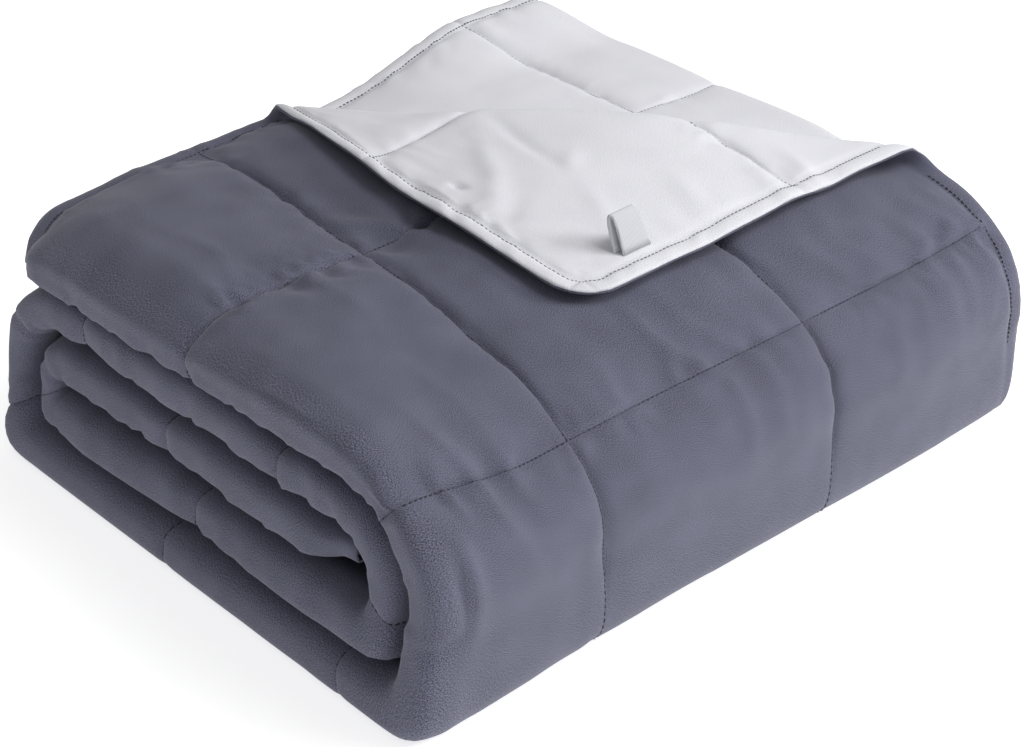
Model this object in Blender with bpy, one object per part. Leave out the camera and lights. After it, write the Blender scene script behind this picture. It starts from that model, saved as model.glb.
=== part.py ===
"""A quilted weighted blanket, folded in thirds across its width and then wound into a flat roll.

Every point of the two panels comes from the flat cloth: `a` runs across the blanket from the side hem
that ends on top, `b` runs along it from the end hem that ends on top, and `w` runs through it, positive
towards the dark face. fold_across, turn_back_corner, wind and settle carry such points to their places,
one after the other. Lengths are in metres, +Z is up, and the blanket lies on z = 0.
"""

import math

import bpy
import numpy as np
from mathutils import Matrix, Vector
from mathutils.bvhtree import BVHTree
from mathutils.geometry import delaunay_2d_cdt

# The folded blanket.
SIDE_HEM_X = 0.204  # the side hem of the top ply
LEFT_FOLD_X = -0.187  # where the left fold starts to bend
RIGHT_FOLD_X = 0.190  # where the right fold starts to bend
THIRD_HEM_X = -0.152  # the hidden side hem of the third ply
FRONT_BEND_Y = -0.109  # the centre of both front bends
BACK_BEND_Y = 0.109  # the centre of both back bends
TOP_HEM_Y = 0.1575  # the end hem on top
INNER_HEM_Y = -0.116  # the end hem inside the roll

# The quilt.
SQUARE_ACROSS = 0.147
SQUARE_ALONG = 0.1415
PLY_PITCH = 0.0087  # from the middle of one ply to the middle of the next
PASS_GAP = 0.0010  # between one pass of the roll and the next
PANEL_GAP = 0.0003
HALF_CROWN = 0.0040  # from the middle of the quilt to the top of a square
HALF_SEAM = 0.0011
HALF_HEM = 0.0019
FREE_CROWN = 0.0045  # how much more a square rises where nothing lies on it
CROWN_POWER = 0.35  # the smaller, the narrower the channel at a quilting line
CHANNEL = 0.06  # where the flank of a channel ends, as a share of a square
FREE_AFTER = 0.02  # how far from where the squares lie free they start to rise
FREE_OVER = 0.04  # the distance in which they come up to their full height
HEM_WIDTH = 0.013
HEM_EDGE = 0.55  # how thick the very edge of the hem is, as a share of its middle
CORNER_RADIUS = 0.024

# The mesh.
LEAST_APART = 0.008  # between one row or column of points and the next, where neither has to be there
TURN_POINTS_APART = 0.024  # along the turn
CLEAR_OF_FOLD = 0.012  # the least from the bend of a fold to a column of the squares
CLEAR_OF_HEM = 0.030  # the least from the far hems to the last quilting line
LOOP_POINTS = 15  # along the arch of the tape
TAPE_POINTS = 4  # across the tape

# The turned-back corner. The first two are where the fold leaves the hems, from the corner.
TURN_ON_END_HEM = 0.231
TURN_ON_SIDE_HEM = 0.280
TURN_BOW = 0.032  # how far the middle of the fold bends away from the corner
TURN_RADIUS = 0.0067
TURN_DRAW = 0.64  # the loose corner lies this much shorter than it is cut, as its quilting draws it up
TURN_SLIDE = 0.315  # how far the loose corner slides along the strip, for each metre past the fold
TURN_REST = 0.0138  # how high the loose corner lies over the top ply, middle to middle
TURN_EASE = 0.060  # the distance in which it comes down from the roll
TURN_SLOPE = math.hypot(1 / TURN_ON_END_HEM, 1 / TURN_ON_SIDE_HEM)
TURN_STEPS = 6  # rows of triangles round the roll

# The loop of tape sewn in at the side hem of the turned-back corner: it stands up in an arch and leans in.
LOOP_FROM_CORNER = 0.054
LOOP_FROM_HEM = 0.0145  # from the cut edge of the cloth to its front foot
TAPE_WIDTH = 0.023
TAPE_THICKNESS = 0.0011
LOOP_OPEN = 0.0108  # between the middles of its two legs at their feet
LOOP_HEIGHT = 0.0175
LOOP_LEAN = 0.0065  # how far its top stands in from its feet
LOOP_SQUARENESS = 0.5  # 1 makes the arch round, less gives it straighter legs

DARK = (0.094, 0.095, 0.125, 1.0)
LIGHT = (0.71, 0.72, 0.76, 1.0)
TAPE = (0.74, 0.75, 0.78, 1.0)
CLOTH_ROUGHNESS = 0.85
TAPE_ROUGHNESS = 0.8

PACKET = 3 * PLY_PITCH + PASS_GAP  # the pitch of one pass of the folded strip
FLATTENED = 0.0031  # how much of each lowest square the surface under the blanket presses flat
LOWEST = PLY_PITCH + HALF_CROWN - FLATTENED  # the middle of the lowest pass
SQUARENESS = 8.0  # 2 makes the lower half of a bend round, more makes it squarer
RAMP = 0.027  # how far the second ply takes to come up level beside the left fold
RAMP_LENGTH = math.hypot(RAMP, PLY_PITCH)
FOLD_CLOSES = 0.060  # the length in which the left fold closes up at the inner hem
STRAIGHT = BACK_BEND_Y - FRONT_BEND_Y
TALL = 5 * PACKET
STRETCH = 1.068  # how much taller the roll stands than its layers pressed flat

# The roll, from the hem on top to the hem inside. Each bend turns half round, about its own centre.
# name, straight length before the bend, radius of the bend at the middle ply, rows of points in the bend
PASSES = (
    ("top", TOP_HEM_Y - FRONT_BEND_Y, 2.0 * PACKET, 8),
    ("bottom", STRAIGHT, 1.5 * PACKET, 8),
    ("fourth", STRAIGHT, 1.0 * PACKET, 6),
    ("second", STRAIGHT, 0.5 * PACKET, 6),
    ("third", BACK_BEND_Y - INNER_HEM_Y, 0.0, 0),
)

# How the roll settles. A ramp runs from one place to another, None being everywhere, and a row acts in full
# where all of its ramps have reached their second place.
# what happens, ramp in x, another in x, ramp in y, ramp in z, move in x, y and z, change of height
SETTLING = (
    ("far corner stands up", (0.02, 0.14), None, (0.100, 0.150), None, (0, 0, 0), 0.10),
    ("far corner drawn out", (0.02, 0.18), None, (0.090, 0.155), (0.090, 0.120), (-0.010, 0.015, 0), 0),
    ("end hem droops at left", (0.06, -0.04), None, (0.100, 0.155), None, (0, 0, 0), -0.05),
    ("free corner hangs", (-0.09, -0.20), None, (0.080, 0.160), (0.098, 0.130), (0.018, 0, -0.006), 0),
    ("right end lies lower", (0.05, 0.19), None, None, None, (0, 0, 0), -0.07),
    ("top slopes to the front", None, None, (-0.010, -0.170), (0, TALL), (0, 0, 0), -0.05),
    ("most in its middle", (-0.205, -0.115), (0.235, 0.035), (-0.010, -0.170), (0, TALL), (0, 0, 0), -0.13),
    ("lowest folds spread", (-0.150, -0.200), None, None, (0.070, 0), (-0.010, 0, 0), 0),
    ("front bulges at right", (-0.100, 0.180), None, (0, -0.160), None, (0, -0.009, 0), 0),
)

# Where each stretch of the zigzag across the strip starts, as a length of cloth from the side hem.
LEFT_FOLD = SIDE_HEM_X - LEFT_FOLD_X
RAMP_START = LEFT_FOLD + math.pi * PLY_PITCH
SECOND_PLY = RAMP_START + RAMP_LENGTH
RIGHT_FOLD = SECOND_PLY + RIGHT_FOLD_X - (LEFT_FOLD_X + RAMP)
THIRD_PLY = RIGHT_FOLD + math.pi * PLY_PITCH / 2
ACROSS = THIRD_PLY + RIGHT_FOLD_X - THIRD_HEM_X
ALONG = sum(length + math.pi * (radius + PLY_PITCH) * (radius > 0) for _, length, radius, _ in PASSES)


def smooth(value):
    """0 below 0, 1 above 1, and an even S between."""
    t = np.clip(value, 0.0, 1.0)
    return t * t * (3.0 - 2.0 * t)


def ramp(value, span):
    """0 up to the first end of the span, 1 from its second, whichever is greater, and smooth between."""
    if span is None:
        return 1.0
    first, second = span
    return smooth((value - first) / (second - first))


def past_turn(a, b):
    """How far a place on the top ply lies beyond the bowed line where the corner turns back."""
    share = np.clip(0.5 + 0.5 * (b / TURN_ON_SIDE_HEM - a / TURN_ON_END_HEM), 0.0, 1.0)
    # share * (1 - share) ** 2 is 4 / 27 at its highest, a third of the way along.
    bow = TURN_BOW * 27 / 4 * share * (1 - share) ** 2
    return (1.0 - a / TURN_ON_END_HEM - b / TURN_ON_SIDE_HEM) / TURN_SLOPE + bow


def fold_across(a, b, w):
    """x and height in the folded strip: ply, left fold, ramp, ply, right fold, ply."""
    # The third ply stops short of the left fold, which is as round as the strip is thick, until it closes.
    radius = PLY_PITCH * (0.5 + 0.5 * smooth((ALONG - b) / FOLD_CLOSES))
    along = np.clip((a - RAMP_START) / RAMP_LENGTH, 0.0, 1.0)
    depth = 2 * radius - PLY_PITCH
    climb = depth * 6 * along * (1 - along) / RAMP
    lean = np.hypot(1.0, climb)
    left = (a - LEFT_FOLD) / PLY_PITCH
    right = (a - RIGHT_FOLD) / (PLY_PITCH / 2)
    stretches = (a < LEFT_FOLD, a < RAMP_START, a < SECOND_PLY, a < RIGHT_FOLD, a < THIRD_PLY)
    x = np.select(
        stretches,
        (
            SIDE_HEM_X - a,
            LEFT_FOLD_X - (radius + w) * np.sin(left),
            LEFT_FOLD_X + RAMP * along + w * climb / lean,
            RIGHT_FOLD_X - (RIGHT_FOLD - a),
            RIGHT_FOLD_X + (PLY_PITCH / 2 - w) * np.sin(right),
        ),
        RIGHT_FOLD_X - (a - THIRD_PLY),
    )
    height = np.select(
        stretches,
        (
            PLY_PITCH + w,
            PLY_PITCH - radius + (radius + w) * np.cos(left),
            depth * (smooth(along) - 1.0) - w / lean,
            -w,
            -PLY_PITCH / 2 + (PLY_PITCH / 2 - w) * np.cos(right),
        ),
        -PLY_PITCH + w,
    )
    return x, height


def turn_back_corner(a, b, w, x, height):
    """Rolls what lies past the turn round a loose roll and lays it back over the top ply."""
    past = past_turn(a, b)
    turned = (past > 0) & (a < LEFT_FOLD)
    angle = np.clip(past / TURN_RADIUS, 0.0, math.pi)
    laid = np.maximum(past - math.pi * TURN_RADIUS, 0.0)
    reach = (TURN_RADIUS - w) * np.sin(angle) - laid * TURN_DRAW
    drop = (2 * TURN_RADIUS - TURN_REST) * smooth(laid / TURN_EASE)
    rise = TURN_RADIUS - (TURN_RADIUS - w) * np.cos(angle) - drop
    new_a = a - (reach - past) / TURN_ON_END_HEM / TURN_SLOPE
    new_b = b - (reach - past) / TURN_ON_SIDE_HEM / TURN_SLOPE + TURN_SLIDE * laid
    return (
        np.where(turned, SIDE_HEM_X - new_a, x),
        np.where(turned, new_b, b),
        np.where(turned, PLY_PITCH + rise, height),
    )


def wind(b, height):
    """y and z of a place on the strip: straight runs joined by half-round bends, dark side out."""
    y = np.zeros_like(b)
    z = np.zeros_like(b)
    start = 0.0
    heading = -1.0
    level = LOWEST + 4 * PACKET
    begin = TOP_HEM_Y
    for _, length, radius, _ in PASSES:
        outer = radius + PLY_PITCH
        last = radius == 0
        run = (b >= start) | (start == 0.0)
        up = 1.0 if heading < 0 else -1.0
        y = np.where(run, begin + heading * (b - start), y)
        z = np.where(run, level + up * height, z)
        start += length
        centre_y = begin + heading * length
        centre_z = level - up * radius
        angle = (b - start) / outer
        out = np.sin(angle)
        rise = up * np.cos(angle)
        lower = (np.abs(out) ** SQUARENESS + np.abs(rise) ** SQUARENESS) ** (-1 / SQUARENESS)
        reach = (radius + height) * np.where(rise < 0, lower, 1.0)
        bend = (b >= start) & (not last)
        y = np.where(bend, centre_y + heading * reach * out, y)
        z = np.where(bend, centre_z + reach * rise, z)
        start += math.pi * outer
        begin = centre_y
        level -= up * 2 * radius
        heading = -heading
    return y, z


def settle(x, y, z):
    """Lets the roll sag and spread as SETTLING says, and presses it flat on the surface."""
    moved = np.stack((x, y, z * STRETCH))
    for _, along_x, again_x, along_y, along_z, move, share in SETTLING:
        full = ramp(x, along_x) * ramp(x, again_x) * ramp(y, along_y) * ramp(z, along_z)
        moved += full * np.array(move)[:, None]
        moved[2] += full * share * z
    moved[2] = np.maximum(moved[2], 0.0)
    return moved


def arch(place, square, whole):
    """0 at each quilting line and on the hems, 1 in the middle of a square."""
    first = np.floor(place / square) * square
    low = np.maximum(first, HEM_WIDTH)
    high = np.minimum(first + square, whole - HEM_WIDTH)
    share = np.clip((place - low) / np.maximum(high - low, HEM_WIDTH), 0.0, 1.0)
    return (4 * share * (1 - share)) ** CROWN_POWER


def half_thickness(a, b, dark):
    """From the middle of the quilt to one face: crowned squares, sewn lines, and a rounded hem."""
    crown = arch(a, SQUARE_ACROSS, ACROSS) * arch(b, SQUARE_ALONG, ALONG)
    edge = np.minimum(np.minimum(a, ACROSS - a), np.minimum(b, ALONG - b))
    hem = edge < HEM_WIDTH - 1e-6
    thick = HALF_SEAM + (HALF_CROWN - HALF_SEAM) * crown
    swell = HEM_EDGE + (1 - HEM_EDGE) * np.sin(math.pi * np.clip(edge / HEM_WIDTH, 0.0, 1.0))
    thick = np.where(hem, HALF_HEM * swell, thick)
    past = past_turn(a, b)
    if dark:
        front_ends = PASSES[0][1] + math.pi * (PASSES[0][2] + PLY_PITCH) - FREE_AFTER
        shown = ramp(b, (front_ends, front_ends - 2 * FREE_OVER)) * ramp(past, (0.0, -FREE_AFTER))
        free = shown * (a < LEFT_FOLD + math.pi * PLY_PITCH / 2)
    else:
        x, _ = fold_across(a, b, np.zeros_like(a))
        bared_after = FREE_AFTER + 2 * TURN_RADIUS
        bared = ramp(past_turn(SIDE_HEM_X - x, b), (bared_after, bared_after + FREE_OVER))
        on_second = (a > SECOND_PLY) & (a < RIGHT_FOLD)
        turned = ramp(past, (FREE_AFTER, FREE_AFTER + FREE_OVER)) * (a < LEFT_FOLD)
        free = np.where(on_second, bared, turned)
    return thick + FREE_CROWN * crown * free


def round_corners(a, b):
    """Draws the four corners of the flat cloth in to a radius, a square grid becoming a round one."""
    u = CORNER_RADIUS - np.minimum(a, ACROSS - a)
    v = CORNER_RADIUS - np.minimum(b, ALONG - b)
    inside = (u > 0) & (v > 0)
    pull = np.where(inside, np.maximum(u, v) / np.maximum(np.hypot(u, v), 1e-9), 1.0)
    near_a = CORNER_RADIUS - u * pull
    near_b = CORNER_RADIUS - v * pull
    new_a = np.where(inside, np.where(a < ACROSS / 2, near_a, ACROSS - near_a), a)
    new_b = np.where(inside, np.where(b < ALONG / 2, near_b, ALONG - near_b), b)
    return new_a, new_b


def place(a, b, w):
    """Carries points of the flat cloth to their places in the folded blanket."""
    a, b = round_corners(a, b)
    x, height = fold_across(a, b, w)
    x, b, height = turn_back_corner(a, b, w, x, height)
    y, z = wind(b, height)
    return settle(x, y, z).T


def shares_of_squares(low, high, square, shares):
    """The places between low and high at the given shares of every square."""
    places = [square * (k + share) for k in range(int(high / square) + 1) for share in shares]
    return [p for p in places if low - 1e-9 <= p <= high + 1e-9]


def spaced(fixed, loose):
    """The fixed places, and those loose ones that are far enough from any other."""
    kept = sorted(fixed)
    for p in loose:
        if min(abs(p - k) for k in kept) > LEAST_APART:
            kept.append(p)
    return sorted(kept)


def columns():
    """The values of a, from the hem on top, that the grid of the panels is drawn on."""
    hems = [0.0, HEM_WIDTH / 2, HEM_WIDTH, ACROSS - HEM_WIDTH, ACROSS - HEM_WIDTH / 2, ACROSS]
    hems.append(HEM_WIDTH + CHANNEL * (SQUARE_ACROSS - HEM_WIDTH))
    fold_left = [LEFT_FOLD + math.pi * PLY_PITCH * k / 4 for k in range(5)]
    ramp = [RAMP_START + RAMP_LENGTH / 2, SECOND_PLY]
    fold_right = [RIGHT_FOLD + math.pi * PLY_PITCH / 2 * k / 3 for k in range(4)]
    top_ends = LEFT_FOLD - CLEAR_OF_FOLD
    top = shares_of_squares(HEM_WIDTH, top_ends, SQUARE_ACROSS, (0, CHANNEL, 0.5, 1 - CHANNEL))
    under_starts = SECOND_PLY + CLEAR_OF_FOLD
    under = shares_of_squares(under_starts, ACROSS - CLEAR_OF_HEM, SQUARE_ACROSS, (0, 0.5))
    return spaced(hems + fold_left + ramp + fold_right, top + under)


def rows():
    """The values of b that the grid is drawn on: every quilting line, share of a square and bend."""
    seams = shares_of_squares(HEM_WIDTH, ALONG - CLEAR_OF_HEM, SQUARE_ALONG, (0,))
    hems = [0.0, HEM_WIDTH / 2, HEM_WIDTH, ALONG - HEM_WIDTH, ALONG - HEM_WIDTH / 2, ALONG]
    hems.append(HEM_WIDTH + CHANNEL * (SQUARE_ALONG - HEM_WIDTH))
    shown = PASSES[0][1] + math.pi * PASSES[0][2] / 2
    flanks = shares_of_squares(HEM_WIDTH, shown, SQUARE_ALONG, (CHANNEL, 1 - CHANNEL))
    middles = shares_of_squares(HEM_WIDTH, ALONG - HEM_WIDTH, SQUARE_ALONG, (0.5,))
    bends = []
    start = 0.0
    for _, length, radius, steps in PASSES:
        start += length
        turn = math.pi * (radius + PLY_PITCH)
        bends += [start + turn * k / steps for k in range(steps + 1) if steps]
        start += turn if steps else 0.0
    return spaced(hems + seams + flanks, bends + middles)


def turn_row(offset):
    """Points of the flat cloth at one distance past the turn, from the end hem to the side hem."""
    share = np.linspace(-0.2, 1.2, 1401)
    a = TURN_ON_END_HEM * (1 - share)
    b = TURN_ON_SIDE_HEM * share
    shift = (past_turn(a, b) - offset) / TURN_SLOPE
    a = a + shift / TURN_ON_END_HEM
    b = b + shift / TURN_ON_SIDE_HEM
    cuts = [float(np.interp(line, b, share)) for line in (0.0, HEM_WIDTH / 2, HEM_WIDTH, SQUARE_ALONG)]
    cuts += [float(np.interp(-line, -a, share)) for line in (SQUARE_ACROSS, HEM_WIDTH, HEM_WIDTH / 2, 0.0)]
    first, last = cuts[0], cuts[-1]
    length = (last - first) * math.hypot(TURN_ON_END_HEM, TURN_ON_SIDE_HEM)
    cuts = sorted(c for c in cuts if first <= c <= last)
    count = max(2, round(length / TURN_POINTS_APART))
    for k in range(1, count):
        loose = first + (last - first) * k / count
        if min(abs(loose - c) for c in cuts) * length / (last - first) > LEAST_APART:
            cuts.append(loose)
    cuts = sorted(cuts)
    row_a = np.interp(cuts, share, a)
    row_b = np.interp(cuts, share, b)
    row_a[-1] = 0.0
    row_b[0] = 0.0
    return np.stack((row_a, row_b), axis=1).tolist()


def flat_points():
    """The grid's points, with rows of their own along the turn in place of those that lie in its way."""
    a, b = (grid.ravel() for grid in np.meshgrid(columns(), rows(), indexing="ij"))
    on_roll = [TURN_RADIUS * math.pi * k / TURN_STEPS for k in range(TURN_STEPS + 1)]
    beyond = [math.pi * TURN_RADIUS + TURN_EASE * k / 3 for k in (1, 2)]
    offsets = [-1.5 * LEAST_APART] + on_roll + beyond
    past = past_turn(a, b)
    in_band = (past > offsets[0] - LEAST_APART) & (past < offsets[-1] + LEAST_APART)
    keep = ~in_band | (a > LEFT_FOLD)
    points = np.stack((a[keep], b[keep]), axis=1)
    edges = []
    for offset in offsets:
        row = turn_row(offset)
        edges += [(len(points) + k, len(points) + k + 1) for k in range(len(row) - 1)]
        points = np.vstack((points, row))
    return points, edges


def triangles(points, edges):
    """Triangles over the flat points that keep to the given edges, each turned the same way."""
    flat = [Vector(p) for p in points.tolist()]
    spots, _, faces, _, _, _ = delaunay_2d_cdt(flat, edges, [], 0, 1e-7)
    spots = np.array([tuple(v) for v in spots])
    faces = np.array(faces)
    corners = spots[faces]
    first = corners[:, 1] - corners[:, 0]
    second = corners[:, 2] - corners[:, 0]
    area = first[:, 0] * second[:, 1] - first[:, 1] * second[:, 0]
    faces[area < 0] = faces[area < 0][:, ::-1]
    return spots, faces[np.abs(area) > 1e-9]


def outer_edges(faces):
    """The directed edges that only one triangle has."""
    edges = np.concatenate((faces[:, [0, 1]], faces[:, [1, 2]], faces[:, [2, 0]]))
    known = {tuple(e) for e in edges.tolist()}
    return np.array([e for e in known if (e[1], e[0]) not in known])


def material(name, colour, roughness):
    made = bpy.data.materials.new(name)
    made.use_nodes = True
    shader = made.node_tree.nodes["Principled BSDF"]
    shader.inputs["Base Color"].default_value = colour
    shader.inputs["Roughness"].default_value = roughness
    shader.inputs["Metallic"].default_value = 0.0
    return made


def add_object(name, points, faces, surface):
    mesh = bpy.data.meshes.new(name)
    mesh.from_pydata(points.tolist(), [], faces.tolist())
    mesh.shade_smooth()
    made = bpy.data.objects.new(name, mesh)
    made.data.materials.append(surface)
    bpy.context.scene.collection.objects.link(made)
    return made


def add_panel(name, spots, faces, dark, surface):
    """One panel: its outer face follows the crowned squares, its inner face the middle of the quilt."""
    a, b = spots[:, 0], spots[:, 1]
    side = 1.0 if dark else -1.0
    outer = place(a, b, side * half_thickness(a, b, dark))
    inner = place(a, b, np.full_like(a, side * PANEL_GAP / 2))
    count = len(spots)
    rim = outer_edges(faces)
    walls = np.concatenate(
        (
            np.stack((rim[:, 1], rim[:, 0], rim[:, 0] + count), axis=1),
            np.stack((rim[:, 1], rim[:, 0] + count, rim[:, 1] + count), axis=1),
        )
    )
    shell = np.concatenate((faces, faces[:, ::-1] + count, walls))
    # The flat cloth is seen from its dark side with a and b turning clockwise.
    shell = shell if dark else shell[:, ::-1]
    return add_object(name, np.concatenate((outer, inner)), shell, surface)


def face_height(a, b, seen):
    """How high the drawn back face stands over the middle of the quilt, found by a ray at the cloth."""
    far = 4 * HALF_CROWN
    start, aim = place(np.array([a, a]), np.array([b, b]), np.array([-far, 0.0]))
    way = Vector(aim - start)
    _, _, _, distance = seen.ray_cast(Vector(start), way)
    return far * (1 - distance / way.length)


def add_loop(back, surface):
    """The tape: an arch carried across its width, with a thickness, on the light face of the corner."""
    points = [v.co for v in back.data.vertices]
    seen = BVHTree.FromPolygons(points, [p.vertices for p in back.data.polygons])
    angle = np.linspace(0.0, math.pi, LOOP_POINTS)
    rise = np.sin(angle).clip(0.0) ** LOOP_SQUARENESS
    middle_in = LOOP_FROM_HEM + LOOP_OPEN / 2 * (1 - np.cos(angle)) + LOOP_LEAN * rise
    middle_up = PANEL_GAP + LOOP_HEIGHT * rise
    along_in = np.gradient(middle_in)
    along_up = np.gradient(middle_up)
    half = TAPE_THICKNESS / 2 / np.hypot(along_in, along_up)
    ring_in = np.concatenate((middle_in - half * along_up, (middle_in + half * along_up)[::-1]))
    ring_up = np.concatenate((middle_up + half * along_in, (middle_up - half * along_in)[::-1]))
    across = LOOP_FROM_CORNER + TAPE_WIDTH * np.linspace(-0.5, 0.5, TAPE_POINTS)
    feet = (LOOP_FROM_HEM, LOOP_FROM_HEM + LOOP_OPEN)
    seats = [max(face_height(foot, b, seen) for b in across) for foot in feet]
    a = np.tile(ring_in, len(across))
    b = np.repeat(across, len(ring_in))
    lift = np.interp(a, feet, seats) + np.tile(np.maximum(ring_up, PANEL_GAP), len(across))
    points = place(a, b, -lift)
    count = len(ring_in)
    here = np.arange(count)
    there = (here + 1) % count
    band = np.stack((here, there, there + count, here + count), axis=1)
    quads = [band + k * count for k in range(len(across) - 1)]
    k = np.arange(count // 2 - 1)
    cap = np.stack((k, count - 1 - k, count - 2 - k, k + 1), axis=1)
    quads += [cap, cap[:, ::-1] + (len(across) - 1) * count]
    return add_object("corner_loop", points, np.concatenate(quads)[:, ::-1], surface)


def centre_on_origin(made):
    """Moves the meshes so that the middle of the underside of their bounding box is the origin."""
    corners = np.array([corner for piece in made for corner in piece.bound_box])
    low = corners.min(axis=0)
    high = corners.max(axis=0)
    shift = Matrix.Translation((-(low[0] + high[0]) / 2, -(low[1] + high[1]) / 2, -low[2]))
    for piece in made:
        piece.data.transform(shift)


def main():
    for old in list(bpy.data.objects):
        bpy.data.objects.remove(old)
    spots, faces = triangles(*flat_points())
    dark_cloth = material("brushed slate cloth", DARK, CLOTH_ROUGHNESS)
    light_cloth = material("pale grey cloth", LIGHT, CLOTH_ROUGHNESS)
    tape = material("pale grey tape", TAPE, TAPE_ROUGHNESS)
    face = add_panel("face_panel", spots, faces, True, dark_cloth)
    back = add_panel("back_panel", spots, faces, False, light_cloth)
    loop = add_loop(back, tape)
    centre_on_origin((face, back, loop))


main()
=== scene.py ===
"""The looks of a folded, quilted weighted blanket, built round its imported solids.

Every piece is drawn on the flat cloth and then folded as the solids are: `a` runs across the blanket from
the side hem that ends on top, `b` runs along it from the end hem that ends on top, and `w` runs through it,
positive towards the dark face. Lengths are in metres and +Z is up.
"""

import math

import bpy
import numpy as np
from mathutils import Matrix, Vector


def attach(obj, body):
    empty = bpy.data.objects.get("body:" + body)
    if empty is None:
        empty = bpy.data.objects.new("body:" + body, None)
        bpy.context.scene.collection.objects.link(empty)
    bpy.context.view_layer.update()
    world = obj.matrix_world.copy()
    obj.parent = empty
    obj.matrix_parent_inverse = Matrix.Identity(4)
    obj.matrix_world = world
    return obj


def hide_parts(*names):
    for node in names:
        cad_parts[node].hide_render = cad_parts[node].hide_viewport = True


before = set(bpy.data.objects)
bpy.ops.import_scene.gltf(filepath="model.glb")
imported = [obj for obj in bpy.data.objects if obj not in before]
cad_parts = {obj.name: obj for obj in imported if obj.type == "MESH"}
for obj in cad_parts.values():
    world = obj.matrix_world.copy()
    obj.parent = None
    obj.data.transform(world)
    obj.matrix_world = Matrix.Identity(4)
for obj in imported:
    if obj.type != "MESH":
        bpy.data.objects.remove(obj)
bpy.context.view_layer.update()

# The folded blanket, as the solids have it.
SIDE_HEM_X = 0.204  # the side hem of the top ply
LEFT_FOLD_X = -0.187  # where the left fold starts to bend
RIGHT_FOLD_X = 0.190  # where the right fold starts to bend
THIRD_HEM_X = -0.152  # the hidden side hem of the third ply
FRONT_BEND_Y = -0.109  # the centre of both front bends
BACK_BEND_Y = 0.109  # the centre of both back bends
TOP_HEM_Y = 0.1575  # the end hem on top
INNER_HEM_Y = -0.116  # the end hem inside the roll
ORIGIN = np.array([0.0023088, 0.0080517, 0.0])  # from where the folding is drawn to the solids' own origin

# The quilt.
SQUARE_ACROSS = 0.147
# The lines across the strip show at uneven steps, as the filling draws the cloth up unevenly.
LINES_ALONG = (0.160, 0.309, 0.455, 0.588, 0.735, 0.862, 1.015, 1.127, 1.271, 1.410, 1.545)
PLY_PITCH = 0.0087  # from the middle of one ply to the middle of the next
PASS_GAP = 0.0010
PANEL_GAP = 0.0003
INNER_LOW = 0.0004  # how much nearer the pale face the quilt's inside lies in the turned-back fold
INNER_LOW_PAST = ((-0.01, 0.0), (0.035, 0.025))  # the line where it turns: where that sets in and fades again
HALF_CROWN = 0.0040  # from the middle of the quilt to the top of a square
HALF_SEAM = 0.0011
HALF_HEM = 0.0019
DARK_FREE = (0.0045, 1.0)  # how much more a square rises where nothing lies on it, and the share of its gathers
PALE_FREE = (0.0018, 0.45)  # the pale side is drawn tighter
DOME_POWER = 0.58  # the smaller, the flatter the middle of a square
LIP = 0.30  # the share of the height that a square gains right beside its sewn lines
LIP_REACH = 0.0022
NEAR_LINE = 0.0009  # the first points of a grid beside a sewn line
FREE_AFTER = 0.02  # how far from where the squares lie free they start to rise
FREE_OVER = 0.04  # the distance in which they come up to their full height
HEM_WIDTH = 0.0098
GROOVE = (0.0008, 0.0010)  # the thread's furrow along each sewn line: half width and depth
HEM_EDGE = 0.55  # how thick the very edge of the hem is, as a share of its middle
FOLD_HEM_EDGE = 0.8  # the same where the hem goes round the left fold
FILLED_OUT = 0.9  # how far sewn lines lie level with the squares where the quilt is pressed or folds over its hem
THINNEST = 0.0006
CORNER_RADIUS = 0.024
FOLD_CORNER = 0.036  # the radius in which the end hem on top rounds the corner at the left fold
FOLD_SQUARENESS = 3.5  # of the end of the left fold, 2 being half a circle
FOLD_HANGS = 0.0075  # how far the top left fold hangs over the one below, towards the end hem
HANGS_IN_X = (-0.165, -0.200)
HANGS_ALONG = (0.30, 0.13)
SECOND_RISES = 0.0058  # how much higher the bared second ply stands at the right
SECOND_RISES_IN_X = (0.03, 0.15)
SECOND_RISES_PAST = (0.010, 0.050)  # the line where the corner turns
FOLD_SCALLOPS = (0.0095, 0.0062, 0.0013)  # along the underside of each left fold: pitch, reach and height
SCALLOPS_AT = 0.72  # of the way round the fold
SCALLOPS_CREST = (0.4, 1.6)  # how high their crests stand, and how far it is from there down into a hollow
SCALLOPS_SWAY = (0.7, 4)  # in pitches: how far they sway, and the length in which they do
SCALLOPS_FAN = (0.05, 0.03)  # across the blanket: how far the sway and a scallop keep their place

# Where sewn lines stray. A pair of spans says where on the flat cloth a stray sets in, and where it fades again.
# The second line from the side hem, on top: places along the blanket, and how far it strays there.
STRAY_AT = (0.0, 0.15, 0.30, 0.45)
STRAY = (-0.014, 0.0, 0.006, 0.006)
STRAY_ACROSS = ((0.20, 0.29), (0.385, 0.30))
INSIDE_ROLL = 0.9  # from here on, along the blanket, the cloth is hidden in the roll
# The two lines of the turned-back corner: how far they lean for each metre along them, and the second one's start.
FLAP_STRAY = (0.22, 0.17)
FLAP_SHIFT = 0.004
FLAP_STARTS = (-0.02, 0.01)  # from the line where the corner turns
FLAP_ACROSS = ((0.07, SQUARE_ACROSS), (0.225, SQUARE_ACROSS))
FLAP_ALONG = ((0.08, LINES_ALONG[0]), (0.25, LINES_ALONG[0]))
# The first line across, where it shows on the bared second ply.
SECOND_STRAY = -0.030
SECOND_FADES = 0.06  # across the strip, beyond both ends of the ply
SECOND_ALONG = ((0.02, LINES_ALONG[0]), (0.32, LINES_ALONG[0]))

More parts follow.
